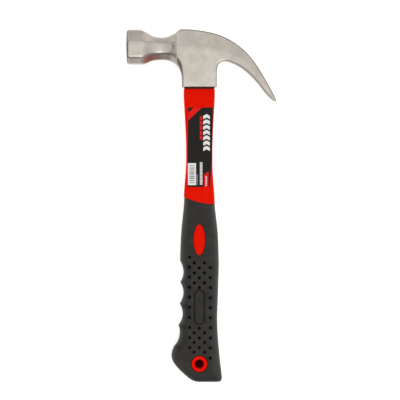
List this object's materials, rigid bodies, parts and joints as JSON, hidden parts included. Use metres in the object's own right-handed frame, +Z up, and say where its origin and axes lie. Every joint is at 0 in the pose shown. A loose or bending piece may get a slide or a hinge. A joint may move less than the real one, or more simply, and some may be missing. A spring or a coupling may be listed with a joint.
{
  "type": "claw hammer",
  "caption": "Curved-claw hammer with an octagonal poll, a fibreglass handle in a red sleeve and a black rubber grip with finger grooves and a hang hole.",
  "frame": {"origin": "on the surface the hammer lies on, under the middle of its bounding box", "axes": "+X towards the tips of the claw, +Y along the handle towards the head, +Z up, across the hammer's thickness as it lies on its side"},
  "size_m": [0.1372, 0.32, 0.0315],
  "materials": {
    "forged_steel": "ground and satin polished",
    "fibreglass": "pulled rod, matte",
    "resin": "cast, smooth",
    "seal_rubber": "matte",
    "red_plastic": "moulded, semi-gloss",
    "grip_rubber": "fine moulded texture, matte",
    "label_film": "printed film, semi-gloss"
  },
  "bodies": {
    "root": {"claw_head": "forged_steel", "fibreglass_core": "fibreglass", "eye_resin": "resin", "eye_seal": "seal_rubber", "handle_jacket": "red_plastic", "rubber_grip": "grip_rubber", "oval_inlay_front": "red_plastic", "oval_inlay_back": "red_plastic", "hang_eyelet": "red_plastic", "label_front": "label_film"}
  },
  "joints": []
}
